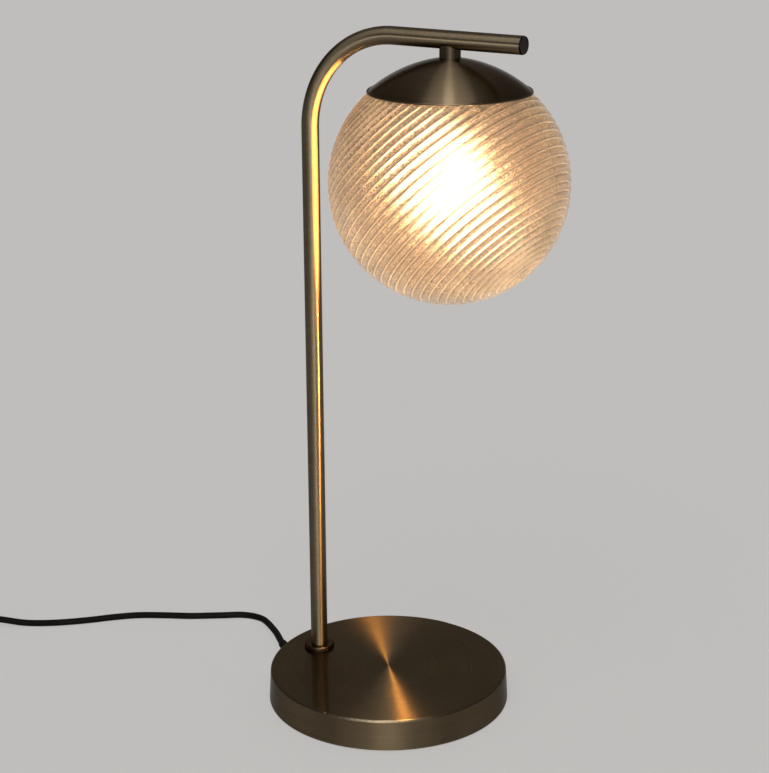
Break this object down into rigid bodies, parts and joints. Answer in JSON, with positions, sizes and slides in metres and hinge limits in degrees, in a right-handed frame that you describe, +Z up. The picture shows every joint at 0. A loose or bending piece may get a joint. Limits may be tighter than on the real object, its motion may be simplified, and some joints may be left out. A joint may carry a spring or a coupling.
{
  "type": "bedside lamp",
  "caption": "Table lamp with a weighted round base, a bent tube stem and arm, and a ribbed glass globe that hangs from a metal cap, with its bulb, cord, inline switch and plug",
  "frame": {"origin": "middle of the base's underside, on the surface it stands on", "axes": "+Z up, +X from the stem along the arm, +Y to the left of the arm"},
  "size_m": [0.5568, 0.2876, 0.4795],
  "materials": {
    "bronze": "brushed antique bronze, lacquered satin",
    "dark_bronze": "dark bronze, smooth and half gloss",
    "iron": "plain cast",
    "plate_paint": "black powder coat",
    "pad": "matt foam",
    "zinc": "zinc plated",
    "spring_steel": "bright spring steel",
    "cream_plastic": "cream, half matt",
    "insert_ceramic": "unglazed",
    "brass": "plain",
    "wire_plastic": "brown insulation",
    "seal": "milky silicone",
    "globe_glass": "clear pressed glass with a warm tint",
    "opal": "opal diffuser, lit warm white",
    "board": "white coated",
    "bulb_plastic": "warm white",
    "nickel": "nickel plated",
    "black_glass": "black glassy insulator",
    "black_plastic": "black, fine texture",
    "black_rubber": "black, satin",
    "clamp_plastic": "natural nylon",
    "cord_jacket": "black PVC, satin",
    "rocker_plastic": "black, smooth",
    "tie_plastic": "black hook tape",
    "plug_plastic": "black, moulded"
  },
  "bodies": {
    "lamp": {"base_cover": "bronze", "base_weight": "iron", "base_plate": "plate_paint", "foot_pad": "pad", "plate_screws": "zinc", "stem_collar": "dark_bronze", "stem_tube": "bronze", "stem_nipple": "zinc", "stem_washer": "zinc", "stem_nut": "zinc", "arm_end_cap": "dark_bronze", "hanger_neck": "dark_bronze", "cap_washer": "zinc", "dome_cap": "bronze", "glass_gallery": "zinc", "hanger_nut": "zinc", "spring_clips": "spring_steel", "clip_rivets": "zinc", "holder_cap": "cream_plastic", "holder_skirt": "cream_plastic", "holder_insert": "insert_ceramic", "thread_shell": "brass", "centre_contact": "brass", "inner_wires": "wire_plastic", "cord_gland": "black_plastic", "cord_relief": "black_rubber", "cord_clamp": "clamp_plastic", "clamp_screws": "zinc", "cord_lead": "cord_jacket", "switch_base": "black_plastic", "switch_top": "black_plastic", "switch_contacts": "brass", "switch_screws": "zinc", "cord_run": "cord_jacket", "cord_coil": "cord_jacket", "cord_tail": "cord_jacket", "cord_tie": "tie_plastic", "plug_body": "plug_plastic", "plug_pins": "nickel"},
    "globe": {"globe_seal": "seal", "glass_globe": "globe_glass"},
    "bulb": {"bulb_dome": "opal", "led_board": "board", "bulb_body": "bulb_plastic", "bulb_cap": "nickel", "bulb_insulator": "black_glass", "bulb_contact": "brass"},
    "rocker": {"switch_rocker": "rocker_plastic"}
  },
  "joints": [
    {"name": "globe_draw_off", "type": "slide", "parent": "lamp", "child": "globe", "axis": [0, 0, -1], "range_m": [0, 0.12]},
    {"name": "bulb_unscrew", "type": "hinge", "parent": "lamp", "child": "bulb", "pos_m": [0.049, 0, 0.43], "axis": [0, 0, -1], "range_deg": [0, 1260]},
    {"name": "switch_rock", "type": "hinge", "parent": "lamp", "child": "rocker", "pos_m": [-0.35275, -0.08284, 0.011], "axis": [0.5299, -0.848, 0], "range_deg": [-16, 0]}
  ]
}
